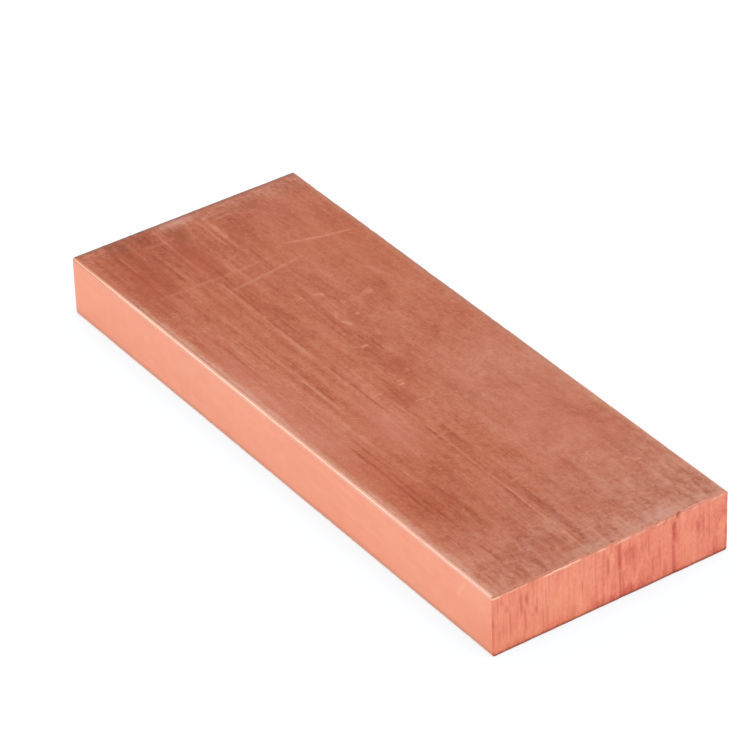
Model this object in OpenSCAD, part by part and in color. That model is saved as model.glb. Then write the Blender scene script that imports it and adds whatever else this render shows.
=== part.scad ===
// Copper plate: a short length of solid copper flat bar, drawn to its section
// and sawn square at both ends.
//
// Lengths are in millimetres. +X runs along the plate, +Y across its width and
// +Z up. The origin is the centre of the underside, so the plate lies on Z = 0.

/* [Plate] */
// Length between the two sawn ends
plate_length = 210; // [60:1:600]
// Width across the flat faces
plate_width = 80; // [30:1:200]
// Thickness between the flat faces
plate_thickness = 20; // [8:0.5:50]

/* [Edges] */
// Radius that drawing leaves on the four long edges
long_edge_radius = 0.8; // [0.3:0.1:3]
// Width of the filed break around each sawn end
sawn_edge_break = 0.4; // [0.1:0.1:2]

/* [Hidden] */
$fn = 48;

// Space that each outline is carried past the solid it trims
overrun = 1;

copper = "#c98067";

// A rectangle centred across, standing on the line y = 0, with round corners.
module rounded_section(width, height, radius) {
    translate([radius - width / 2, 0])
        square([width - 2 * radius, height]);
    translate([-width / 2, radius])
        square([width, height - 2 * radius]);
    for (side = [-1, 1], y = [radius, height - radius])
        translate([side * (width / 2 - radius), y])
            circle(r = radius);
}

// The same rectangle with its corners cut off at 45 degrees.
module broken_section(width, height, cut) {
    polygon([
        [-width / 2 + cut, 0],
        [width / 2 - cut, 0],
        [width / 2, cut],
        [width / 2, height - cut],
        [width / 2 - cut, height],
        [-width / 2 + cut, height],
        [-width / 2, height - cut],
        [-width / 2, cut],
    ]);
}

// The bar as it is drawn: one section all along X.
module drawn_bar() {
    rotate([90, 0, 90])
        linear_extrude(height = plate_length, center = true)
            rounded_section(plate_width, plate_thickness, long_edge_radius);
}

// Seen from the side: the length, with the ends broken above and below.
module side_outline() {
    rotate([90, 0, 0])
        linear_extrude(height = plate_width + 2 * overrun, center = true)
            broken_section(plate_length, plate_thickness, sawn_edge_break);
}

// Seen from above: the length, with the ends broken at both sides.
module top_outline() {
    translate([0, -plate_width / 2, -overrun])
        linear_extrude(height = plate_thickness + 2 * overrun)
            broken_section(plate_length, plate_width, sawn_edge_break);
}

module plate() {
    color(copper)
        intersection() {
            drawn_bar();
            side_outline();
            top_outline();
        }
}

plate();
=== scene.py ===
"""The look of a copper plate: a length of drawn flat bar, sawn off at both ends.

The frame is the plate's own: +X along its length, +Y across its width, +Z up. The near side
is the one at -Y and the near end the one at +X: the photo shows these two and the top.
Blender's lengths are metres. Most lengths here are easier to read in millimetres, so the mesh
code writes them as a number times MM, and the materials work in millimetres throughout.
"""
from functools import reduce
from math import cos, pi, radians, sin
from operator import add

import bpy
import numpy as np
from mathutils import Matrix, Vector, noise


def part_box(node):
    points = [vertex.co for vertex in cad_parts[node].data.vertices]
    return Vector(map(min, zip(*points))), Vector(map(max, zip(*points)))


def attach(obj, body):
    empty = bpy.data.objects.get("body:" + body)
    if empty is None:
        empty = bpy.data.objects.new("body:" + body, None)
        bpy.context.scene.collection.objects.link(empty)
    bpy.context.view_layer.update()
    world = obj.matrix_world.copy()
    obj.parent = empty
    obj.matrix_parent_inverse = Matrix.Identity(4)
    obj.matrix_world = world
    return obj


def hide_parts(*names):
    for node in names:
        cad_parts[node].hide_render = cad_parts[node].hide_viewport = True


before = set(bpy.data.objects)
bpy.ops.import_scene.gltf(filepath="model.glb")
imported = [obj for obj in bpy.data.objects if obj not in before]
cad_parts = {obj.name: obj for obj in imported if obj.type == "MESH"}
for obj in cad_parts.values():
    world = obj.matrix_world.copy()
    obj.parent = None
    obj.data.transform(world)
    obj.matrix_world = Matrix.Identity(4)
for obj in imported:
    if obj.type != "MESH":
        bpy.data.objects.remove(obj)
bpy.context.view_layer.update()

MM = 0.001
LOW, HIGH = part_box("plate")
CENTRE = (LOW + HIGH) / 2
HALF = (HIGH - LOW) / 2

# The same for the materials: half the plate's size, and its middle's and top's heights.
HALF_MM = HALF / MM
MIDDLE_MM = CENTRE.z / MM
TOP_MM = HIGH.z / MM

# The same edges as the solid's: a radius along the bar and a break round each sawn end.
EDGE_RADIUS = 0.8 * MM
SAWN_BREAK = 0.4 * MM

# How finely the mesh is divided: steps across the width, up the thickness and round each
# rounded edge, first for the long faces and then for the ends.
COARSE_STEPS = (64, 16, 6)
FINE_STEPS = (352, 44, 6)
# Loops along the long faces and round the break of an end.
LONG_LOOPS = 144
BREAK_LOOPS = 5
# How far from an end the coarse loops stop and the fine ones start.
COARSE_STOP = 2.4 * MM
FINE_START = 1.9 * MM

# The saw's ridges and the dark of its tears lean by so much towards +Y on their way down the
# ends, and the tears' own shape by a little less.
SAW_LEAN = 0.04
TEAR_LEAN = 0.03

# Deep marks on the near end: where across the plate, how wide, how deep, and between which
# heights, in millimetres.
TEARS = [
    (-34.9, 0.8, 0.20, 12.5, 15),
    (-34.0, 0.6, 0.08, 5, 13),
    (-30.1, 0.8, 0.20, 9.5, 17),
    (-28.2, 0.8, 0.30, 12, 16),
    (-29.0, 0.5, 0.12, 4, 12),
    (-25.2, 0.8, 0.26, 7.5, 11),
    (-25.0, 0.5, 0.10, 9, 14),
    (-22.0, 0.4, 0.06, 3, 15),
    (-9.9, 0.5, 0.08, 8, 13),
    (-1.0, 0.7, 0.20, 9, 16),
    (2.9, 0.9, 0.30, 9, 19),
    (2.8, 0.6, 0.20, -2, 10),
    (3.8, 0.5, 0.18, -2, 9),
    (7.5, 0.8, 0.10, 11, 16),
    (12.9, 0.6, 0.16, 9, 18),
    (16.5, 0.5, 0.10, 3, 12),
    (21.8, 1.1, 0.40, 10, 18),
    (21.3, 0.8, 0.26, -2, 11),
    (22.9, 0.7, 0.40, 18, 23),
    (29.6, 0.9, 0.16, 11.5, 14),
    (33.5, 0.5, 0.06, 6, 16),
]

# Notches in the top edge of that end: where across, how wide and how much deeper than the
# break along it, in millimetres.
NOTCHES = [
    (-30.5, 0.8, 0.2),
    (15.0, 1.0, 0.3),
    (18.6, 0.5, 0.35),
    (22.8, 0.7, 0.5),
    (27.0, 0.6, 0.25),
    (36.5, 0.7, 0.3),
]


# ---------------------------------------------------------------- camera and lights

# The photo's camera, found from the plate's own edges: lens and sensor in millimetres, the
# point in the middle of the picture, the side it looks from in degrees, and how far off it is.
LENS = 205.9
SENSOR = 36
AIM = Vector((CENTRE.x - 11.5 * MM, CENTRE.y + 4.0 * MM, CENTRE.z))
VIEW_AZIMUTH = 55.93
VIEW_ELEVATION = 34.15
VIEW_ROLL = -1.91
VIEW_DISTANCE = 1.2358

# How bright the surroundings are on the copper. The camera itself sees them white.
WORLD = 0.85

# Panels of light: name, azimuth, elevation, distance, size and brightness. The brightness is
# how a panel looks in a mirror, on the scale of WORLD.
SOFTBOXES = [
    ("left_softbox", -52, 22, 1.6, (0.8, 0.7), 1.6),
    ("side_softbox", -105, 50, 1.6, (0.9, 0.7), 0.4),
    ("back_softbox", 143, 58, 1.6, (0.8, 0.8), 1.2),
]


def toward(azimuth, elevation):
    """The direction from the plate to a viewer; azimuth 0 stands on -Y and 90 on +X."""
    a, e = radians(azimuth), radians(elevation)
    return Vector((sin(a) * cos(e), -cos(a) * cos(e), sin(e)))


def facing(back, roll=0.0):
    """The rotation of a camera or lamp whose back is turned that way."""
    turn = back.to_track_quat("Z", "Y").to_matrix().to_4x4()
    return turn @ Matrix.Rotation(radians(roll), 4, "Z")


def add_camera():
    camera = bpy.data.objects.new("camera", bpy.data.cameras.new("camera"))
    camera.data.lens = LENS
    camera.data.sensor_width = SENSOR
    camera.data.clip_start = 0.01
    back = toward(VIEW_AZIMUTH, VIEW_ELEVATION)
    place = Matrix.Translation(AIM + back * VIEW_DISTANCE)
    camera.matrix_world = place @ facing(back, VIEW_ROLL)
    bpy.context.scene.collection.objects.link(camera)
    bpy.context.scene.camera = camera


def add_softbox(name, azimuth, elevation, distance, size, brightness):
    """A lit panel that faces the plate."""
    lamp = bpy.data.lights.new(name, "AREA")
    lamp.shape = "RECTANGLE"
    lamp.size, lamp.size_y = size
    lamp.energy = brightness * pi * size[0] * size[1]
    softbox = bpy.data.objects.new(name, lamp)
    back = toward(azimuth, elevation)
    softbox.matrix_world = Matrix.Translation(CENTRE + back * distance) @ facing(back)
    bpy.context.scene.collection.objects.link(softbox)


# ---------------------------------------------------------------- mesh

# What a face of the mesh belongs to: the drawn bar, the break round a sawn end, or the end.
DRAWN, BREAK, END = range(3)

# The plate's materials: on the wide faces, on the narrow sides with the rounded edges, and on
# the sawn ends with their breaks.
FACE, SIDE, SAWN = range(3)


def wander(points, size, seed):
    """Smooth noise from -1 to 1; size is how coarse it is along X, Y and Z."""
    return np.array([noise.noise(Vector(p)) for p in points / np.array(size) + seed])


def smooth(low, high, x):
    """0 up to low and 1 from high on, with a smooth step between."""
    t = np.clip((x - low) / (high - low), 0, 1)
    return t * t * (3 - 2 * t)


def divided(reach, steps):
    """Places from -reach to reach.

    The first and last steps are narrow, so that smooth shading turns close to the edge.
    """
    margin = 0.12 * MM
    inner = np.linspace(margin - reach, reach - margin, steps - 1)
    return np.concatenate([[-reach], inner, [reach]])


class Section:
    """The bar's outline across X, as a closed loop of points.

    core is the nearest point of the flats' inner rectangle, and out is the way the surface
    faces there, so a point inset by d lies at core + (EDGE_RADIUS - d) * out. cell is the
    point's place in a grid over the inner rectangle, and along is how far round the point
    lies, out of around in all.
    """

    def __init__(self, steps_across, steps_up, steps_round):
        self.y = divided(HALF.y - EDGE_RADIUS, steps_across)
        self.z = divided(HALF.z - EDGE_RADIUS, steps_up)
        core, out, cell = [], [], []
        last = (steps_across, steps_up)
        corners = [(0, 0), (last[0], 0), last, (0, last[1])]
        for side, (here, there) in enumerate(zip(corners, corners[1:] + corners[:1])):
            angle = (side - 1) * pi / 2
            count = max(abs(there[0] - here[0]), abs(there[1] - here[1]))
            step = np.sign(np.subtract(there, here))
            turns = [(i, 0) for i in range(count + 1)]
            turns += [(count, k) for k in range(1, steps_round)]
            for i, k in turns:
                iy, iz = np.array(here) + i * step
                a = angle + k / steps_round * pi / 2
                core.append((self.y[iy], self.z[iz]))
                out.append((cos(a), sin(a)))
                cell.append((iy, iz))
        self.core, self.out, self.cell = map(np.array, (core, out, cell))
        edge = self.core + EDGE_RADIUS * self.out
        gaps = np.linalg.norm(np.roll(edge, -1, 0) - edge, axis=1)
        self.around = gaps.sum()
        self.along = np.concatenate([[0], np.cumsum(gaps)[:-1]])


class Shell:
    """The plate's surface, gathered loop by loop: points, their outward facings and faces."""

    def __init__(self):
        self.points, self.facings, self.along = [], [], []
        self.faces, self.kinds = [], []

    def add(self, points, facings, along=None):
        """Takes points in and returns their numbers; along is as in Section."""
        first = len(self.points)
        self.points.extend(points)
        self.facings.extend(facings)
        self.along.extend(along if along is not None else np.zeros(len(points)))
        return np.arange(first, first + len(points))

    def loop(self, section, x, inset, lean):
        """A closed loop at x, inset from the bar's outline.

        lean is how far the surface there has turned towards +X, in radians.
        """
        flat = section.core + (EDGE_RADIUS - np.reshape(inset, (-1, 1))) * section.out
        x = np.broadcast_to(x, len(flat))
        points = np.column_stack([x, flat[:, 0], flat[:, 1] + CENTRE.z])
        out = section.out * cos(lean)
        facings = np.column_stack([np.full(len(flat), sin(lean)), out])
        return self.add(points, facings, section.along)

    def face(self, corners, flip, kind=DRAWN):
        corners = [int(c) for c in dict.fromkeys(corners)]
        self.faces.append(corners[::-1] if flip else corners)
        self.kinds.append(kind)

    def strip(self, a, b, flip=False, kind=DRAWN):
        """Quads between two loops; where b repeats a point, a triangle."""
        for a0, a1, b0, b1 in zip(a, np.roll(a, -1), b, np.roll(b, -1)):
            self.face((a0, a1, b1, b0), flip, kind)

    def lace(self, a, a_along, b, b_along, flip):
        """Triangles between two loops with unlike numbers of points."""
        i = j = 0
        a_next, b_next = np.append(a_along[1:], 1), np.append(b_along[1:], 1)
        while i < len(a) or j < len(b):
            a0, b0 = a[i % len(a)], b[j % len(b)]
            if j == len(b) or (i < len(a) and a_next[i] <= b_next[j]):
                i += 1
                self.face((a0, a[i % len(a)], b0), flip)
            else:
                j += 1
                self.face((a0, b[j % len(b)], b0), flip)


def sawn_break(section, end):
    """How wide the ragged break round an end is, for each point of the section."""
    apart = end * 40 * MM
    place = np.column_stack([np.full(len(section.along), apart), section.core])
    ragged = 0.5 * wander(place, (1, 1.3 * MM, 1.3 * MM), 3.1)
    ragged += 1.3 * wander(place, (1, 5 * MM, 5 * MM), 7.7)
    # The saw tore the upper edge of the near end, the more so towards +Y.
    upper = smooth(-0.5, 0.5, section.out[:, 1]) * (end > 0)
    rough = upper * (0.6 + 0.6 * smooth(-10 * MM, 30 * MM, section.core[:, 0]))
    cut = SAWN_BREAK * (0.8 + ragged * (0.2 + 0.8 * rough))
    for middle, width, deep in NOTCHES:
        across = (section.core[:, 0] / MM - middle) / width
        cut += upper * deep * MM * np.exp(-across**2)
    narrowest, widest = 0.1 * MM, 0.7 * MM
    return np.clip(cut, narrowest, widest)


def add_end(shell, coarse, last_loop, end):
    """One end of the bar, beyond its last coarse loop; end is 1 at +X and -1 at -X."""
    flip = end < 0
    fine = Section(*FINE_STEPS)
    cut = sawn_break(fine, end)
    begin = shell.loop(fine, end * (HALF.x - FINE_START), 0, 0)
    shell.lace(
        last_loop, coarse.along / coarse.around,
        begin, fine.along / fine.around, flip,
    )
    before, kind = begin, DRAWN
    for lean in np.linspace(0, pi / 2, BREAK_LOOPS):
        x = end * (HALF.x - cut * (1 - sin(lean)))
        ring = shell.loop(fine, x, cut * (1 - cos(lean)), end * lean)
        shell.strip(before, ring, flip, kind)
        before, kind = ring, BREAK
    y, z = np.meshgrid(fine.y, fine.z, indexing="ij")
    grid = np.column_stack([np.full(y.size, end * HALF.x), y.ravel(), z.ravel() + CENTRE.z])
    cap = shell.add(grid, np.tile((end, 0, 0), (y.size, 1))).reshape(y.shape)
    rim = cap[fine.cell[:, 0], fine.cell[:, 1]]
    shell.strip(before, rim, flip, END)
    for i in range(len(fine.y) - 1):
        for j in range(len(fine.z) - 1):
            corners = (cap[i, j], cap[i + 1, j], cap[i + 1, j + 1], cap[i, j + 1])
            shell.face(corners, flip, END)


def plate_shell():
    """The plate's plain surface, and how far it is round the bar."""
    shell = Shell()
    coarse = Section(*COARSE_STEPS)
    stations = np.linspace(-HALF.x + COARSE_STOP, HALF.x - COARSE_STOP, LONG_LOOPS)
    loops = [shell.loop(coarse, x, 0, 0) for x in stations]
    for a, b in zip(loops, loops[1:]):
        shell.strip(a, b)
    add_end(shell, coarse, loops[-1], 1)
    add_end(shell, coarse, loops[0], -1)
    return shell, coarse.around


def relief(points, facings):
    """How far the real surface lies below the plain one, in metres."""
    x, y, z = points.T
    sawn = np.clip(np.abs(facings[:, 0]) * 1.6 - 0.3, 0, 1)
    corner = smooth(0.1, 0.5, np.abs(facings[:, 1] * facings[:, 2]) * 2)

    # The drawn faces swell a little, and their rounded edges are worn and nicked.
    swell = 0.02 * MM * (1 + wander(points, (70 * MM, 22 * MM, 22 * MM), 1.3))
    nick = smooth(0.25, 0.6, wander(points, (2.2 * MM, 3 * MM, 3 * MM), 5.9))
    worn = 0.06 * MM * (1 + wander(points, (9 * MM, 3 * MM, 3 * MM), 2.2))
    drawn = swell + corner * (worn + 0.12 * MM * nick)

    # The saw leaves ridges all over the ends, and tears on the near one.
    leaning = points + np.outer(SAW_LEAN * z, (0, 1, 0))
    fine = 1 + wander(leaning, (1, 0.42 * MM, 7 * MM), 11.0)
    broad = 1 + wander(leaning, (1, 1.5 * MM, 30 * MM), 13.0)
    depth = 0.025 * MM * fine + 0.06 * MM * broad
    for middle, width, deep, low, high in TEARS:
        across = (y / MM - middle - TEAR_LEAN * (MIDDLE_MM - z / MM)) / width
        span = smooth(low - 1, low + 2, z / MM) * (1 - smooth(high - 2, high + 1, z / MM))
        depth += (x > 0) * deep * MM * np.exp(-across**2) * span
    return sawn * depth + (1 - sawn) * drawn


def unwrap(mesh, shell, around):
    """The map for baking: the long faces rolled out in one piece, and the ends below them."""
    points, along = np.array(shell.points), np.array(shell.along)
    gap = 2 * MM
    page = max(2 * HALF.x, around + 2 * HALF.z + gap) + 2 * gap
    layer = mesh.uv_layers.new(name="OFBake")
    for polygon, kind in zip(mesh.polygons, shell.kinds):
        x, y, z = points[polygon.vertices].T
        if kind == END:
            u = gap + y + HALF.y + (0 if x[0] > 0 else 2 * HALF.y + gap)
            v = gap + z
        else:
            s = along[polygon.vertices]
            # A face that closes the round is unrolled past its end, not back to its start.
            s = np.where((s < around * 0.25) & (s.max() > around * 0.75), s + around, s)
            u = gap + x + HALF.x
            v = 2 * gap + 2 * HALF.z + s
        for loop, place in zip(polygon.loop_indices, zip(u / page, v / page)):
            layer.data[loop].uv = place


def make_plate(materials):
    """The plate's one piece; the materials come in the order FACE, SIDE, SAWN."""
    shell, around = plate_shell()
    points, facings = np.array(shell.points), np.array(shell.facings)
    points = points - facings * relief(points, facings)[:, None]
    mesh = bpy.data.meshes.new("copper_plate")
    mesh.from_pydata(points.tolist(), [], shell.faces)
    mesh.polygons.foreach_set("use_smooth", [True] * len(mesh.polygons))
    for material in materials:
        mesh.materials.append(material)
    flat = np.abs(facings[:, 2]) > 0.99
    slots = []
    for corners, kind in zip(shell.faces, shell.kinds):
        if kind != DRAWN:
            slots.append(SAWN)
        elif flat[corners].all():
            slots.append(FACE)
        else:
            slots.append(SIDE)
    mesh.polygons.foreach_set("material_index", slots)
    unwrap(mesh, shell, around)
    mesh.update()
    plate = bpy.data.objects.new("copper_plate", mesh)
    bpy.context.scene.collection.objects.link(plate)
    return plate


# ---------------------------------------------------------------- what the materials show

# The copper's brown on the wide faces and its orange on the sawn ends, from dark to pale. The
# plate's colours are all written as they look on a screen, 0 to 255.
FACE_TONES = [(158, 76, 48), (179, 95, 67), (197, 116, 86), (208, 133, 105), (217, 151, 126)]
END_TONES = [(198, 98, 82), (220, 122, 101), (235, 142, 117), (243, 158, 131), (250, 178, 154)]

# The long, faint bands that drawing and handling left on the top face: from and to, in
# millimetres, how wide, how far they taper off along their length, and how pale (or dark,
# below 0) they are.
BANDS = [
    ((-104, 2.8), (-76, 2.4), 1.1, 0.3, 0.9),
    ((-96, 3.4), (-84, 2.8), 0.8, 0.3, 0.7),
    ((-104, 0.2), (-79, 0.6), 0.8, 0.2, 1.0),
    ((-104, -13.2), (-92, -13.4), 0.8, 0.2, 0.9),
    ((-100, -13.6), (-72, -13.8), 0.8, 0.3, 0.5),
    ((-69, -12.8), (-46, -13.0), 0.8, 0.2, 0.6),
    ((-42, -13.4), (-16, -13.6), 0.8, 0.3, 0.4),
    ((-104, -23.2), (-88, -23.2), 0.7, 0.2, 0.8),
    ((-98, -29.0), (-84, -29.0), 0.7, 0.3, 0.7),
    ((-95, -23.0), (14, -21.8), 1.2, 0.3, 0.5),
    ((-12, -22.4), (11, -21.9), 0.7, 0.2, 0.7),
    ((-48, -21.6), (-16, -21.0), 0.7, 0.3, 0.4),
    ((-44, -24.4), (-12, -24.0), 0.8, 0.3, 0.4),
    ((-60, -26.5), (60, -24.5), 2.2, 0.3, 0.2),
    ((-52, 1.4), (-12, 1.0), 0.7, 0.3, 0.5),
    ((10, -14.0), (50, -17.0), 9.0, 0.4, 0.25),
    ((14, -7.9), (29, -7.3), 0.6, 0.3, 0.6),
    ((28, -7.0), (50, -6.9), 0.6, 0.15, 0.9),
    ((46, -7.0), (108, -7.0), 0.6, 0.1, 0.9),
    ((80, -7.8), (95, -7.6), 2.0, 0.3, 0.7),
    ((-30, -34.0), (30, -35.0), 2.4, 0.4, 0.4),
    ((30, 21.5), (46, 21.3), 0.8, 0.3, 0.5),
    ((82, 20.6), (97, 20.0), 1.0, 0.3, 0.5),
    ((-49, -6.6), (-36, -7.0), 0.9, 0.3, -0.5),
    ((-69, -11.8), (-44, -12.0), 0.8, 0.2, -0.8),
    ((-46, -12.3), (-14, -11.9), 0.7, 0.3, -0.6),
    ((-14, -12.3), (24, -12.0), 0.7, 0.2, -0.8),
    ((-72, -19.0), (-44, -19.7), 1.6, 0.3, -0.6),
    ((-40, -25.6), (-16, -25.4), 0.7, 0.3, -0.6),
    ((-40, -30.5), (-20, -30.8), 0.8, 0.3, -0.6),
    ((-6, -21.0), (6, -20.8), 0.6, 0.3, -0.7),
    ((7, -5.4), (21, -5.8), 1.0, 0.3, -0.7),
    ((-60, 4.0), (14, 3.4), 2.6, 0.4, -0.3),
    ((30, 24.0), (43, 24.0), 0.7, 0.3, -0.5),
    ((62, 13.0), (84, 13.4), 1.4, 0.3, -0.5),
    ((30, -4.6), (50, -3.7), 1.4, 0.3, -0.6),
    ((62, -4.4), (104, -3.6), 2.0, 0.2, -0.75),
    ((30, -7.9), (39, -7.8), 0.5, 0.3, -0.7),
    ((64, -7.9), (84, -7.8), 0.5, 0.3, -0.7),
    ((89, -10.9), (103, -10.6), 1.8, 0.3, -0.7),
    ((21, -26.2), (44, -26.1), 0.6, 0.2, -0.6),
    ((21, -27.7), (44, -27.5), 0.6, 0.2, -0.7),
    ((38, -28.6), (74, -28.2), 0.7, 0.2, -0.8),
    ((20, -30.4), (68, -30.3), 0.8, 0.2, -1.1),
    ((54, -21.4), (82, -21.8), 1.8, 0.3, -0.7),
    ((82, -28.6), (105, -28.4), 0.6, 0.2, -0.7),
    ((-90, -10.5), (-60, -9.8), 1.2, 0.4, -0.5),
    ((-94, -20.6), (-68, -20.2), 1.1, 0.3, -1.0),
    ((-101, -25.8), (-77, -25.6), 1.2, 0.3, -0.8),
    ((-100, -30.2), (-74, -29.6), 0.9, 0.3, -0.9),
    ((-125, -14.0), (-40, -15.0), 7.0, 0.4, -0.4),
]

# Scratches and small knocks across the top face: from and to, how far they bow, how wide
# and how pale they are.
SCRATCHES = [
    ((-66.6, 39.0), (-74.4, 11.0), 1.0, 1.0, 0.75),
    ((-65.6, 19.0), (-60.8, -17.0), 1.2, 1.1, 0.65),
    ((-69.0, 15.0), (-69.8, -39.0), 0.5, 1.3, 0.35),
    ((-56.0, 23.0), (-20.0, 36.0), 0.6, 1.3, 0.22),
    ((-99.4, 13.5), (-99.2, 1.5), 0.0, 1.0, 0.5),
    ((-96.8, 12.5), (-96.6, 3.0), 0.0, 0.9, 0.56),
    ((-99.6, 4.4), (-98.6, 1.4), 0.0, 1.0, 1.12),
    ((-95.6, -8.0), (-95.0, -20.5), 0.4, 1.0, 0.45),
    ((-36.8, 21.6), (-35.8, 16.4), 0.0, 1.9, 0.56),
    ((-44.4, 5.0), (-42.2, 8.6), 0.2, 0.9, 1.12),
    ((-40.0, 8.4), (-34.0, 7.2), -0.6, 0.8, 0.34),
    ((-34.0, 6.4), (-28.6, 3.4), -0.5, 0.9, 0.67),
    ((-28.4, 3.6), (-23.6, 5.6), 0.3, 0.9, 1.12),
    ((-38.0, 10.2), (-34.6, 9.8), 0.2, 0.9, 0.67),
    ((-29.4, 10.4), (-27.4, 9.8), 0.0, 1.0, 0.9),
    ((-26.4, 14.8), (-24.2, 14.4), 0.2, 0.9, 0.56),
    ((-46.4, 13.4), (-42.4, 13.0), 0.2, 0.9, 0.45),
    ((-13.2, 3.6), (-13.2, 0.4), 0.0, 1.0, 1.2),
    ((2.6, 4.6), (5.4, 4.2), 0.3, 0.9, 0.67),
    ((7.0, 0.8), (7.4, -1.8), 0.0, 0.9, 0.9),
    ((8.9, 0.8), (9.2, -2.2), 0.0, 1.0, 1.2),
    ((18.4, 0.4), (18.8, -1.8), 0.0, 1.0, 0.67),
    ((17.6, 22.2), (19.0, 18.8), 0.2, 0.9, 1.01),
    ((16.2, 6.4), (18.8, -0.2), 0.4, 1.2, 0.45),
    ((9.0, -7.6), (9.4, -12.6), 0.0, 1.1, 0.67),
    ((35.6, -3.6), (36.0, -9.6), 0.2, 1.0, 0.5),
    ((45.6, -8.6), (48.2, -9.4), 0.1, 1.0, 0.67),
    ((-11.4, -25.2), (-7.6, -25.7), 0.0, 0.8, 0.67),
    ((74.8, 26.6), (78.2, 29.4), 0.2, 0.9, 0.9),
    ((78.4, 31.4), (77.8, 27.6), 0.2, 0.9, 0.9),
    ((60.8, 20.5), (60.6, 8.5), 0.2, 1.4, 0.39),
    ((65.4, -0.4), (65.8, -5.2), 0.0, 1.0, 0.5),
]

# Worn, rubbed or soiled places on the top face: the middle, the reach along X and Y, and
# how pale they are.
SMUDGES = [
    ((-104, -25), (44, 18), -0.9),
    ((-84, -27), (36, 9), -0.4),
    ((-96.2, -8.4), (6.5, 3.6), -1.05),
    ((-87, -10.5), (8, 3), -0.5),
    ((-45, -13), (60, 9), -0.35),
    ((-42, -26), (26, 5), -0.3),
    ((-90, -4.5), (15, 4.5), -0.6),
    ((-70, 5), (16, 5), 0.35),
    ((-90, 9), (10, 5), -0.6),
    ((-101, -22), (5, 13), -0.7),
    ((-103, -4), (2.6, 6.5), 1.4),
    ((-100, 28), (6, 10), 0.3),
    ((40, 20), (60, 20), 0.4),
    ((14, 17.5), (17, 12), 0.6),
    ((25, 35), (14, 5), 0.4),
    ((36, 36), (34, 6), 0.3),
    ((82, 14), (14, 14), 0.4),
    ((98, 10), (9, 18), 0.6),
    ((102.5, 19), (3.4, 9), 0.7),
    ((103, -7), (2.2, 9), 0.9),
    ((103.4, 28.6), (2.4, 2.2), -1.4),
    ((99, 34), (4, 2.4), -0.6),
    ((102, 32.4), (1.4, 1.4), 1.0),
    ((4, -35), (50, 7), 0.75),
    ((20, -25), (26, 5), 0.3),
    ((22, -17), (20, 7), 0.5),
    ((64, -28), (20, 9), -0.7),
    ((60, -16), (36, 6), -0.35),
    ((91, -15), (10, 6), -0.8),
    ((97, -26), (10, 12), -0.85),
    ((55, -35), (12, 5), -0.7),
    ((40, 5), (14, 5), -0.25),
    ((14, -4.6), (9, 4), -0.5),
    ((4, 4.6), (7, 4.4), -0.35),
    ((-13, 6), (6, 2.6), -0.6),
    ((51, 32), (5, 5), -0.4),
    ((54, 6), (5, 9), -0.4),
    ((-38, 25), (9, 3), -0.4),
    ((-51, 11.5), (6, 2), -0.5),
    ((48, -6), (34, 5.5), -0.35),
    ((88, -33.5), (9, 5), 0.4),
    ((-5, 23.5), (1.8, 1.8), 0.7),
    ((-9, 6.8), (6, 3.2), 0.5),
    ((1, -8.6), (11, 3.4), 0.4),
]

# Places on the top face where the metal has another colour: the middle, the reach along X
# and Y, how strong it is, and the colour.
OLIVE = (152, 92, 64)
RUSSET = (180, 88, 60)
EMBER = (198, 110, 76)
ROSE = (204, 116, 96)
CHALK = (212, 158, 140)
TINTS = [
    ((-96.2, -8.4), (6.5, 3.4), 0.6, OLIVE),
    ((-95, -8.4), (8, 4), 0.3, RUSSET),
    ((-99.6, -27.5), (4, 4), 0.4, OLIVE),
    ((-98.5, 14), (4, 12), 0.3, OLIVE),
    ((-99, 33), (6, 8), 0.25, OLIVE),
    ((25, 12), (5, 3), 0.2, OLIVE),
    ((17.5, 24), (3.4, 1.8), 0.2, OLIVE),
    ((-82, -11), (16, 5), 0.5, RUSSET),
    ((-84, -28), (20, 9), 0.4, RUSSET),
    ((-55, -10), (8, 3), 0.4, RUSSET),
    ((-54, -19), (14, 3), 0.3, RUSSET),
    ((4, 4.6), (8, 5), 0.3, RUSSET),
    ((14, -5), (10, 5), 0.3, RUSSET),
    ((48, -27), (18, 8), 0.3, RUSSET),
    ((-88, 24), (14, 11), 0.2, ROSE),
    ((-56, 30), (34, 11), 0.3, EMBER),
    ((68, 30), (18, 8), 0.25, EMBER),
    ((-70, 2), (28, 50), 0.15, EMBER),
    ((26, 26), (32, 22), 0.12, CHALK),
    ((0, -34), (56, 7), 0.3, ROSE),
    ((26, -16), (16, 7), 0.4, ROSE),
    ((48, 22), (18, 16), 0.3, ROSE),
    ((97, -16), (6, 5), 0.3, ROSE),
    ((102.6, 17), (3, 13), 0.5, CHALK),
    ((103, -7), (2.4, 9), 0.5, CHALK),
    ((102, 32.4), (1.6, 1.6), 0.6, CHALK),
    ((-103, -4), (2.8, 7), 0.6, CHALK),
]

# Smudges on the near end, with places and reach along Y and Z.
END_SMUDGES = [
    ((7, 13), (5, 6), -0.9),
    ((30, 13), (4, 5), -0.6),
    ((-19, 11), (11, 9), 0.6),
    ((-8, 13), (4, 7), 0.5),
    ((26, 9), (3, 8), 0.4),
    ((36, 12), (4, 7), -0.5),
    ((13, 4), (8, 5), -0.3),
    ((2, 1), (20, 3), -0.5),
    ((38, 3), (5, 7), -0.5),
]

# Pale burr along that end's top edge, painted bright as a highlight: where across, how far it
# reaches and how bright.
BURRS_AND_GLINTS = [
    (-38.8, 2.8, 0.9),
    (-33.5, 3.0, 0.45),
    (-29.8, 1.8, 0.35),
    (-20.6, 3.0, 0.9),
    (-16.2, 5.6, 1.0),
    (-11.8, 2.2, 0.9),
    (-3.4, 2.4, 0.7),
    (3.8, 3.8, 0.6),
    (9.6, 2.4, 0.35),
    (16.4, 2.4, 0.5),
    (28.8, 1.4, 0.4),
    (36.6, 3.0, 0.5),
]


# ---------------------------------------------------------------- how a material is written

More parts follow.
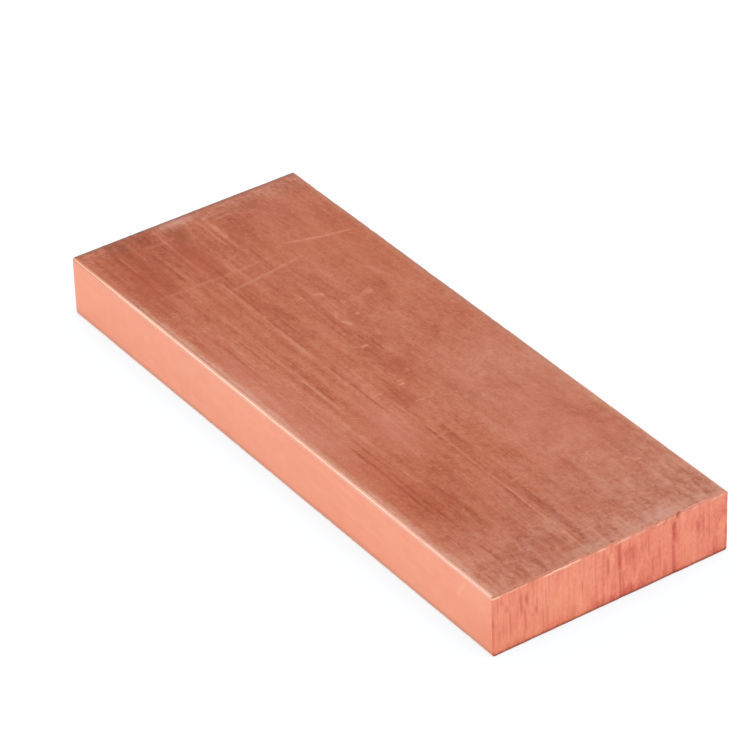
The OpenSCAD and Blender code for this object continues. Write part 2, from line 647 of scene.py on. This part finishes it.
def srgb(red, green, blue):
    """A colour written as it looks on a screen, 0 to 255, in the linear form shaders use."""
    def linear(c):
        c /= 255
        return c / 12.92 if c <= 0.04045 else ((c + 0.055) / 1.055) ** 2.4
    return (linear(red), linear(green), linear(blue), 1.0)


class Field:
    """A number or colour that a shader works out at every point of the surface."""

    def __init__(self, tree, socket):
        self.tree, self.socket = tree, socket

    def _math(self, operation, *values):
        node = self.tree.nodes.new("ShaderNodeMath")
        node.operation = operation
        for value, socket in zip(values, node.inputs):
            feed(self.tree, value, socket)
        return Field(self.tree, node.outputs[0])

    def __add__(self, other):
        return self._math("ADD", self, other)

    __radd__ = __add__

    def __sub__(self, other):
        return self._math("SUBTRACT", self, other)

    def __rsub__(self, other):
        return self._math("SUBTRACT", other, self)

    def __mul__(self, other):
        return self._math("MULTIPLY", self, other)

    def __truediv__(self, other):
        return self._math("DIVIDE", self, other)

    def abs(self):
        return self._math("ABSOLUTE", self)

    def above(self, other):
        """The larger of the two."""
        return self._math("MAXIMUM", self, other)

    def below(self, other):
        """The smaller of the two."""
        return self._math("MINIMUM", self, other)

    def hypot(self, other):
        return self._math("SQRT", self * self + other * other)

    def ramp(self, low, high, top=1.0):
        """0 at low and top at high, with a smooth step between; low may be the larger."""
        node = self.tree.nodes.new("ShaderNodeMapRange")
        node.interpolation_type = "SMOOTHSTEP"
        # A smooth step stays between its ends by itself. The node's own clamp adds so many
        # steps to a shader as long as drawn_face's that Cycles draws it black.
        node.clamp = False
        feed(self.tree, self, node.inputs["Value"])
        node.inputs["From Min"].default_value = low
        node.inputs["From Max"].default_value = high
        node.inputs["To Max"].default_value = top
        return Field(self.tree, node.outputs[0])


def feed(tree, value, socket):
    """Gives a socket its value: a field's link, or a plain number or colour."""
    if isinstance(value, Field):
        tree.links.new(value.socket, socket)
    else:
        socket.default_value = value


def mix(tree, factor, first, second):
    """A colour that runs from first to second as factor rises from 0 to 1."""
    node = tree.nodes.new("ShaderNodeMix")
    node.data_type = "RGBA"
    sockets = {s.identifier: s for s in node.inputs}
    feed(tree, factor, sockets["Factor_Float"])
    feed(tree, first, sockets["A_Color"])
    feed(tree, second, sockets["B_Color"])
    return Field(tree, next(s for s in node.outputs if s.identifier == "Result_Color"))


class Finish:
    """One material under construction.

    x, y and z are fields: the place on the plate, in millimetres.
    """

    def __init__(self, name):
        self.material = bpy.data.materials.new(name)
        self.material.use_nodes = True
        self.tree = self.material.node_tree
        self.shader = self.tree.nodes["Principled BSDF"]
        self.shader.inputs["Metallic"].default_value = 1.0
        place = self.tree.nodes.new("ShaderNodeTexCoord").outputs["Object"]
        self.point = self.mapped(place, (MM, MM, MM))
        split = self.tree.nodes.new("ShaderNodeSeparateXYZ")
        self.tree.links.new(self.point, split.inputs[0])
        self.x, self.y, self.z = (Field(self.tree, s) for s in split.outputs)

    def mapped(self, point, size, shift=(0, 0, 0), turn=0):
        """A point turned about Z by so many degrees, then divided by size and shifted."""
        node = self.tree.nodes.new("ShaderNodeMapping")
        node.vector_type = "TEXTURE"
        origin = Vector([-a * b for a, b in zip(shift, size)])
        unturn = Matrix.Rotation(-radians(turn), 3, "Z")
        node.inputs["Location"].default_value = unturn @ origin
        node.inputs["Rotation"].default_value = (0, 0, -radians(turn))
        node.inputs["Scale"].default_value = size
        self.tree.links.new(point, node.inputs["Vector"])
        return node.outputs[0]

    def noise(self, size, seed, detail=2, roughness=0.5, turn=0):
        """Noise of about -1 to 1; size is how coarse it is along X, Y and Z, in millimetres.

        turn is by how many degrees its grain is turned about Z.
        """
        point = self.mapped(self.point, size, (seed, seed * 1.7, seed * 2.3), turn)
        node = self.tree.nodes.new("ShaderNodeTexNoise")
        node.inputs["Scale"].default_value = 1.0
        node.inputs["Detail"].default_value = detail
        node.inputs["Roughness"].default_value = roughness
        self.tree.links.new(point, node.inputs["Vector"])
        return Field(self.tree, node.outputs[0]) * 4 - 2

    def hairlines(self, size, seed, turn=0):
        """Fine broken lines, 0 to 1, where a stretched noise passes through nought."""
        line = self.noise(size, seed, detail=0, turn=turn).abs().ramp(0.08, 0)
        reach = (size[0] * 0.5, size[1] * 6, size[2] * 6)
        return line * self.noise(reach, seed + 5, detail=1, turn=turn).ramp(0.1, 0.7)

    def ground(self, across, up):
        """A point on a plane of the plate, from which marks measure their distance.

        Taking mapped() points apart for every mark would need conversions between kinds of
        vector. Those fill a long shader up, and Cycles draws it black.
        """
        node = self.tree.nodes.new("ShaderNodeCombineXYZ")
        feed(self.tree, across, node.inputs["X"])
        feed(self.tree, up, node.inputs["Y"])
        return node.outputs[0]

    def vector_math(self, operation, point, *vectors):
        node = self.tree.nodes.new("ShaderNodeVectorMath")
        node.operation = operation
        self.tree.links.new(point, node.inputs[0])
        for vector, socket in zip(vectors, node.inputs[1:]):
            socket.default_value = (*vector, 0)
        return node

    def along(self, point, axis, origin):
        """How far a point of the plane lies from origin along an axis, times its length."""
        node = self.vector_math("DOT_PRODUCT", point, axis)
        return Field(self.tree, node.outputs["Value"]) - axis.dot(origin)

    def distance(self, point, origin, reach):
        """How far a point of the plane lies from origin: 1 on the ellipse that reach gives."""
        (x, y), (rx, ry) = origin, reach
        local = self.vector_math("MULTIPLY_ADD", point, (1 / rx, 1 / ry), (-x / rx, -y / ry))
        node = self.vector_math("LENGTH", local.outputs["Vector"])
        return Field(self.tree, node.outputs["Value"])

    def line(self, point, start, end, bow, width, fade, strength):
        """strength along a line from start to end, and 0 away from it.

        width is how far it reaches to each side, bow how far its middle bends to one side,
        and fade the share of its length over which each end fades out.
        """
        start, end = Vector(start), Vector(end)
        run, middle = end - start, (start + end) / 2
        along = self.along(point, run / run.length_squared, middle)
        off = self.along(point, Vector((-run.y, run.x)) / run.length, middle)
        if bow:
            off = off - (0.25 - along * along) * (4 * bow)
        return off.abs().ramp(width, 0, strength) * along.abs().ramp(0.5, 0.5 - fade)

    def mix(self, factor, first, second):
        return mix(self.tree, factor, first, second)

    def flushed(self, colour, flush, widest, share, high, low):
        """A colour tinged with high where flush is over nought, and with low where it is under.

        The tinge reaches its full share where flush is widest away from nought.
        """
        colour = self.mix(flush.ramp(0.1, widest) * share, colour, high)
        return self.mix(flush.ramp(-0.1, -widest) * share, colour, low)

    def tones(self, position, colours):
        """A colour that runs evenly through the colours as position rises from 0 to 1."""
        node = self.tree.nodes.new("ShaderNodeValToRGB")
        ramp = node.color_ramp
        places = [i / (len(colours) - 1) for i in range(len(colours))]
        for place in places[1:-1]:
            ramp.elements.new(place)
        for element, place, colour in zip(ramp.elements, places, colours):
            element.position = place
            element.color = srgb(*colour)
        feed(self.tree, position, node.inputs[0])
        return Field(self.tree, node.outputs[0])

    def finish(self, colour, roughness, height):
        """height is in millimetres, and only leans the light: the mesh holds the real shape."""
        feed(self.tree, colour, self.shader.inputs["Base Color"])
        feed(self.tree, roughness, self.shader.inputs["Roughness"])
        bump = self.tree.nodes.new("ShaderNodeBump")
        bump.inputs["Distance"].default_value = MM
        feed(self.tree, height, bump.inputs["Height"])
        self.tree.links.new(bump.outputs[0], self.shader.inputs["Normal"])
        return self.material


# ---------------------------------------------------------------- the wide faces

def scratch_mark(f, point, start, end, bow, width, strength):
    """One scratch. A short one fades out over a larger share of its length."""
    length = (Vector(end) - Vector(start)).length
    fade = min(0.5, max(0.3, 1.2 / length))
    return f.line(point, start, end, bow, width, fade, strength)


def top_marks(f):
    """The top face's own history: fields for tone and scratches, and (field, colour) tints."""
    on_top = f.z.ramp(MIDDLE_MM, MIDDLE_MM + 1)
    sway = f.noise((9, 9, 9), 21.0)
    grain = f.noise((26, 0.7, 0.7), 22.0, roughness=0.6)
    swayed = f.ground(f.x + sway * 1.5, f.y + sway * 0.2 + grain * 0.12)
    bands = reduce(add, (
        f.line(swayed, start, end, 0, width, fade, strength)
        for start, end, width, fade, strength in BANDS
    ))
    broken = f.noise((16, 1.0, 1.0), 23.0, detail=3, roughness=0.6)
    tone = bands * (0.9 + broken * 0.6)
    place = f.ground(f.x, f.y)
    rough = f.noise((4, 3, 3), 24.0, detail=4, roughness=0.65)
    ragged = rough * 0.28
    smudges = reduce(add, (
        (f.distance(place, middle, reach) + ragged).ramp(1.1, 0.2, strength)
        for middle, reach, strength in SMUDGES
    ))
    tone = tone + smudges * (0.7 + rough * 0.4)
    crumbs = f.noise((1.6, 1.6, 1.6), 25.0).ramp(-1.1, 0.2)
    nudged = f.ground(f.x + sway * 0.15, f.y + sway * 0.15)
    scratch = reduce(Field.above, (scratch_mark(f, nudged, *row) for row in SCRATCHES))
    ragged = rough * 0.3
    tints = []
    for middle, reach, strength, colour in TINTS:
        tint = (f.distance(place, middle, reach) + ragged).ramp(1.3, 0.2, strength)
        tints.append((tint * on_top, srgb(*colour)))
    return tone * on_top, scratch * crumbs * on_top, tints


def stray_lines(f):
    """Fine lines all over the wide faces: along them, across them, and curling."""
    hairs = f.hairlines((30, 1.0, 1.0), 30.0)
    rubs = f.hairlines((9, 1.2, 1.2), 32.0, turn=78)
    rubs = rubs.above(f.hairlines((7, 1.2, 1.2), 33.0, turn=-62))
    curls = f.noise((5, 3.6, 3.6), 36.0, detail=1).abs().ramp(0.12, 0)
    curls = curls * f.noise((8, 6, 6), 37.0).ramp(0.3, 1.0)
    return hairs, rubs, curls


def dull_film(f, grit):
    """How much greyish film lies on a wide face, and the rind it has beside the near end."""
    veil = f.noise((9, 6, 6), 40.0, detail=5, roughness=0.7)
    # Most of it lies on the last stretch before the near end.
    film = (f.x + f.y * 0.35 + veil * 12).ramp(46, HALF_MM.x + 12) * (0.8 + veil * 0.25)
    rind = (HALF_MM.x - f.x + veil * 2).ramp(5.0, 0.5)
    stain = f.noise((26, 14, 14), 42.0, detail=4, roughness=0.65).ramp(0.1, 1.4)
    film = film.above(rind * 0.7).above(stain * 0.3 * f.x.ramp(-60, 40))
    back = (f.x + HALF_MM.x + veil * 3).ramp(9, 2) * (0.2 + f.y.ramp(-16, -8) * 0.25)
    return film.above(back * (1 + grit * 0.7)), rind


def worn_edges(f, colour, grit, speck):
    """A wide face's colour, with what wear and dirt have done to it beside the edges."""
    fray = f.noise((10, 2.5, 2.5), 44.0, detail=4, roughness=0.65)
    fray = fray + grit * 0.3
    # Handling wears the metal pale and grey beside the long edges.
    near = (f.y + HALF_MM.y + fray * 0.9).ramp(3.4, 1.4) * f.x.ramp(-90, -50)
    near = near * (1 + f.x.ramp(10, -30) * 0.3)
    beyond = (HALF_MM.y - f.y + fray * 0.7).ramp(3.4, 0.8) * (0.7 + f.x.ramp(15, 45) * 0.3)
    wear = near.above(beyond * 0.7) * (0.9 + grit * 0.5 + speck * 0.2)
    colour = f.mix((wear * 0.8).below(0.95), colour, srgb(218, 160, 138))
    # The last of the far side is darker, a painted dark reflection, but for the stretch before
    # the near end.
    dark_edge_reflection = (HALF_MM.y - f.y + fray * 0.15).ramp(2.1, 1.1) * f.x.ramp(45, 15)
    colour = f.mix(dark_edge_reflection * 0.3, colour, srgb(172, 120, 102))
    # On the half towards -X a fine dark line runs along the top's near edge.
    seam = (f.y + HALF_MM.y - 1.1 + fray * 0.05).abs().ramp(0.45, 0.1)
    seam = seam * f.x.ramp(-88, -70) * f.x.ramp(0, -30) * f.z.ramp(MIDDLE_MM, TOP_MM)
    colour = f.mix(seam * 0.45, colour, srgb(164, 108, 92))
    # The last two millimetres or so before the end at -X are darker.
    darker_minus_x_end = (f.x + HALF_MM.x + fray * 0.3).ramp(2.4, 0.8)
    return f.mix(darker_minus_x_end * 0.6, colour, srgb(158, 104, 88))


def drawn_face():
    """The two wide faces: brown with handling, with lines that the drawing die left."""
    f = Finish("drawn_copper_face")
    bands = f.noise((130, 6, 6), 1.0)
    streaks = f.noise((45, 1.9, 1.9), 4.0, detail=3, roughness=0.6)
    lines = f.noise((16, 0.6, 0.6), 6.0, roughness=0.6)
    clouds = f.noise((34, 18, 18), 9.0, detail=4, roughness=0.6)
    mottle = f.noise((2.6, 1.9, 1.9), 12.0, detail=4, roughness=0.75)
    history, scratch, tints = top_marks(f)
    hairs, rubs, curls = stray_lines(f)
    blotch = f.noise((9, 6, 6), 14.0, detail=3, roughness=0.6) * (0.05 + f.y.ramp(0, 18) * 0.1)
    speck = f.noise((0.8, 0.6, 0.6), 15.0, detail=1)
    # The die's lines show less on the half towards +Y, which handling has blurred.
    drawn = (bands * 0.11 + streaks * 0.13 + lines * 0.09) * (0.5 + f.y.ramp(22, -4) * 0.5)
    drawn = drawn * (0.8 + f.x.ramp(20, -20) * 0.35)
    tone = 0.5 + drawn + blotch + clouds * 0.18 + mottle * 0.21 + speck * 0.08
    tone = tone + history * 0.34
    # Towards both ends the surface is grainy, with short lines along and across it.
    ends = (f.x.ramp(-92, -102) * 1.3).above(f.x.ramp(82, 100))
    grit = f.noise((1.7, 1.3, 1.3), 43.0, detail=3, roughness=0.65)
    weave = f.noise((9, 1.4, 1.4), 45.0, detail=1.5) * 1.5
    weave = weave + f.noise((0.9, 5, 5), 46.0) * 0.7
    tone = tone + (grit * 0.19 + weave * 0.08) * ends
    colour = f.tones(tone, FACE_TONES)
    # The bare metal runs from rosy to ochre in soft patches, with a few stronger tints.
    rosy, ochre = srgb(206, 120, 100), srgb(196, 118, 80)
    flush = f.noise((20, 9, 9), 38.0, detail=4, roughness=0.65)
    colour = f.flushed(colour, flush, 1.3, 0.35, rosy, ochre)
    for strength, tint in tints:
        colour = f.mix(strength, colour, tint)
    film, rind = dull_film(f, grit)
    shade = 0.5 + mottle * 0.5 + blotch * 2 + (grit + weave) * 0.25
    shade = shade + rind * f.y.ramp(-12, 6) * 0.4
    grey = f.mix(shade, srgb(180, 116, 97), srgb(220, 165, 147))
    colour = f.mix((film * 0.65).below(0.8), colour, grey)
    colour = worn_edges(f, colour, grit, speck)
    marks = (hairs * 0.3).above(rubs * 0.38).above(curls * 0.36).above(scratch * 0.7)
    colour = f.mix(marks, colour, srgb(224, 156, 129))
    roughness = 0.36 + film * 0.10 + mottle * 0.04
    height = lines * 0.010 + streaks * 0.012 + mottle * 0.010 + grit * film * 0.006
    height = height - scratch * 0.02 - hairs * 0.006
    return f.finish(colour, roughness, height)


# ---------------------------------------------------------------- the narrow sides

def drawn_side():
    """The narrow long faces and the rounded edges: clean satin copper."""
    f = Finish("drawn_copper_side")
    lines = f.noise((80, 1.0, 1.0), 3.0, detail=3)
    cloud = f.noise((40, 12, 12), 6.0, detail=3)
    back = f.x.ramp(-60, -105)
    blot = f.noise((5, 3, 3), 11.0, detail=4, roughness=0.6)
    shade = 0.5 + lines * 0.12 + cloud * 0.35 + blot * 0.3
    colour = f.mix(shade, srgb(239, 151, 119), srgb(245, 165, 135))
    colour = f.mix(back * 0.5, colour, srgb(238, 148, 114))
    # A graze crosses the near side, and the lower part of its last stretch turns deeper orange
    # towards the bottom.
    near = f.y.ramp(0, -10)
    place = f.ground(f.x, f.z)
    low_end, high_end = (88.6, 10.0), (93.8, 18.6)
    graze = f.line(place, low_end, high_end, bow=0.4, width=1.1, fade=0.3, strength=0.28)
    colour = f.mix(graze * near, colour, srgb(252, 190, 160))
    deeper_low_end = (f.x + blot * 4).ramp(88, 104) * (f.z + blot * 2).ramp(16, 4) * near
    colour = f.mix(deeper_low_end * 0.5, colour, srgb(234, 142, 112))
    # The rounded upper edges are rubbed pale, and the pale is also a painted highlight, weaker
    # towards -X; the far one is darker instead, a painted dark reflection, but for the stretch
    # before the near end.
    rubbed_and_highlight = f.z.ramp(18.6, 19.4) * (0.8 + cloud * 0.3)
    pale_and_highlight = f.mix(f.x.ramp(-105, -60), srgb(212, 148, 124), srgb(238, 188, 170))
    dark_edge_reflection = f.y.ramp(0, 10) * f.x.ramp(45, 15)
    pale_and_highlight = f.mix(dark_edge_reflection, pale_and_highlight, srgb(204, 154, 138))
    colour = f.mix((rubbed_and_highlight * 0.9).below(1), colour, pale_and_highlight)
    # The lowest edge picks up dirt from what the plate stands on, and is darker still with
    # painted contact shade.
    grime_and_contact_shade = (f.z + lines * 0.15 + blot * 0.2).ramp(2.7, 1.1)
    colour = f.mix(grime_and_contact_shade * 0.55, colour, srgb(192, 138, 118))
    roughness = 0.3 + cloud * 0.03
    return f.finish(colour, roughness, lines * 0.003)


# ---------------------------------------------------------------- the sawn ends

def tear_marks(f, leaning, wobble):
    """Where the saw tore the metal: TEARS once more, darker where they are deeper."""
    def mark(middle, width, deep, low, high):
        across = (leaning - middle).abs() + wobble
        span = f.z.ramp(low - 1, low + 2) * f.z.ramp(high + 1, high - 2)
        return across.ramp(width * 1.2, width * 0.2) * span * min(1, 0.25 + 1.9 * deep)
    return reduce(Field.above, (mark(*row) for row in TEARS))


def broken_edge(f, colour, near_end, lines, patches, specks):
    """An end's colour, with its top edge dull above and a torn burr under that, painted bright
    as a highlight.
    """
    down = HALF_MM.z * 2 - f.z + patches * 0.12 + specks * 0.10
    dull = down.ramp(0.8, 0.35)
    nibbled = f.noise((1, 1.6, 30), 18.0, detail=3, roughness=0.6).ramp(0.1, 0.9)
    chalky = (f.y + patches * 10).ramp(-30, 25)
    worn = f.mix(chalky, srgb(194, 130, 106), srgb(216, 150, 128))
    # At -X the break is darker.
    worn = f.mix(f.x.ramp(-1, 1), srgb(160, 108, 90), worn)
    colour = f.mix(dull * 0.8, colour, worn)
    colour = f.mix(dull * nibbled * near_end * 0.45, colour, srgb(150, 92, 70))
    spots = f.noise((1, 3.2, 30), 14.0, detail=3).ramp(0.2, 1.0) * 0.4
    for y, reach, strength in BURRS_AND_GLINTS:
        spots = spots.above((f.y - y + lines * 0.4).abs().ramp(reach, reach * 0.3) * strength)
    # Along the burr, a pale painted highlight in spots.
    lower = down + f.noise((1, 6, 60), 19.0) * 0.25
    burr_and_glint = lower.ramp(0.35, 0.65) * lower.ramp(1.4, 0.85) * spots
    colour = f.mix(burr_and_glint * 0.85, colour, srgb(250, 204, 180))

    def notch(middle, width, deep):
        """The dark trace of a notch, which slants towards -Y on its way down."""
        off = (f.y - middle - 0.4 + down * 0.7).abs()
        return off.ramp(width, width * 0.3) * max(0, deep * 3 - 0.6)

    notches = reduce(Field.above, (notch(*row) for row in NOTCHES))
    notches = notches * near_end * down.ramp(2.4, 1.0)
    return f.mix(notches * 0.8, colour, srgb(170, 88, 66))


def sawn_end():
    """The ends: fresh orange copper, ridged and torn by the saw, with a pale burr on top that
    is partly a painted highlight.
    """
    f = Finish("sawn_copper_end")
    near_end = f.x.ramp(0, 1)
    leaning = f.y + (f.z - MIDDLE_MM) * SAW_LEAN
    lines = f.noise((1, 0.5, 10), 3.0, roughness=0.6)
    ridges = f.noise((1, 1.3, 26), 5.0, roughness=0.6)
    patches = f.noise((1, 3.2, 6), 8.0, detail=4, roughness=0.65)
    specks = f.noise((0.8, 0.8, 1.3), 10.0, detail=3, roughness=0.6)
    keen = 1.5 - f.y.ramp(-8, 8) * 0.5
    tone = 0.5 + (lines * 0.10 + ridges * 0.13) * keen + patches * 0.18 + specks * 0.14
    # The lowest few millimetres are darker and rosier: painted shade near the ground.
    low = (f.z + patches * 1.5).ramp(4.0, 0.5)
    rim = HALF_MM.y - f.y.abs()
    tone = tone - low * 0.14 - (rim + lines * 0.3).ramp(1.8, 0.6) * 0.14
    for (y, z), (ry, rz), strength in END_SMUDGES:
        far = ((f.y - y) / ry).hypot((f.z - z) / rz) + patches * 0.3
        tone = tone + far.ramp(1.1, 0.2) * near_end * (strength * 0.25)
    colour = f.tones(tone, END_TONES)
    # Freshly cut copper is rosy in some places and golden in others, and rosier near the bottom
    # as painted shade.
    golden, rosy = srgb(238, 158, 118), srgb(228, 114, 100)
    flush = f.noise((1, 1.8, 7), 17.0, detail=4, roughness=0.65) - low * 0.4
    colour = f.flushed(colour, flush, 1.2, 0.5, golden, rosy)
    colour = f.mix(f.y.ramp(5, -12) * 0.15, colour, srgb(242, 164, 126))
    tear = tear_marks(f, leaning, lines.abs() * 0.15)
    tear = tear * near_end * (0.85 + specks * 0.4 + patches * 0.2)
    colour = f.mix((tear * 0.92).below(0.95), colour, srgb(192, 82, 66))
    colour = broken_edge(f, colour, near_end, lines, patches, specks)
    # The lowest edge of an end is darker: dirt from the ground, and painted contact shade.
    grime_and_contact_shade = (f.z + specks * 0.2).ramp(1.4, 0.4)
    colour = f.mix(grime_and_contact_shade * 0.8, colour, srgb(146, 78, 60))
    roughness = 0.4 + lines * 0.04
    height = lines * 0.010 + ridges * 0.015 + specks * 0.006 - tear * 0.03
    return f.finish(colour, roughness, height)


# ---------------------------------------------------------------- ground and world

# The ground's own light for the camera and in the copper, and the colour it gives the light
# that falls on it: against the copper's glow, so that the shadow comes out grey. These three
# are in the linear form shaders use.
GROUND_SEEN = (0.65, 0.62, 0.615, 1)
GROUND_MIRRORED = (0.70, 0.60, 0.565, 1)
GROUND_DIFFUSE = (0.40, 0.54, 0.60, 1)
GROUND_REACH = 8.0


def lit_floor():
    """White ground with the plate's shadow on it: its own light, and what falls on it.

    It shines only for the camera, and in metal or glass that shows the ground.
    """
    material = bpy.data.materials.new("white_ground")
    material.use_nodes = True
    tree = material.node_tree
    tree.nodes.clear()
    diffuse = tree.nodes.new("ShaderNodeBsdfDiffuse")
    diffuse.inputs["Color"].default_value = GROUND_DIFFUSE
    glow = tree.nodes.new("ShaderNodeEmission")
    path = tree.nodes.new("ShaderNodeLightPath")
    camera = Field(tree, path.outputs["Is Camera Ray"])
    mirrored = Field(tree, path.outputs["Is Glossy Ray"]).above(
        Field(tree, path.outputs["Is Transmission Ray"])
    )
    colour = mix(tree, camera, GROUND_MIRRORED, GROUND_SEEN)
    feed(tree, colour, glow.inputs["Color"])
    feed(tree, camera.above(mirrored), glow.inputs["Strength"])
    both = tree.nodes.new("ShaderNodeAddShader")
    tree.links.new(diffuse.outputs[0], both.inputs[0])
    tree.links.new(glow.outputs[0], both.inputs[1])
    output = tree.nodes.new("ShaderNodeOutputMaterial")
    tree.links.new(both.outputs[0], output.inputs["Surface"])
    return material


def add_floor():
    far = GROUND_REACH
    mesh = bpy.data.meshes.new("floor")
    corners = [(-far, -far, 0), (far, -far, 0), (far, far, 0), (-far, far, 0)]
    mesh.from_pydata(corners, [], [(0, 1, 2, 3)])
    mesh.materials.append(lit_floor())
    floor = bpy.data.objects.new("floor", mesh)
    bpy.context.scene.collection.objects.link(floor)


def light_world():
    world = bpy.data.worlds.new("studio")
    world.use_nodes = True
    tree = world.node_tree
    background = tree.nodes["Background"]
    background.inputs["Color"].default_value = (1, 1, 1, 1)
    path = tree.nodes.new("ShaderNodeLightPath")
    camera = Field(tree, path.outputs["Is Camera Ray"])
    feed(tree, camera.above(WORLD), background.inputs["Strength"])
    bpy.context.scene.world = world


# ---------------------------------------------------------------- the scene

add_camera()
light_world()
add_floor()
for softbox in SOFTBOXES:
    add_softbox(*softbox)
plate = make_plate([drawn_face(), drawn_side(), sawn_end()])
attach(plate, "root")
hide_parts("plate")

bpy.context.scene.view_settings.view_transform = "Standard"
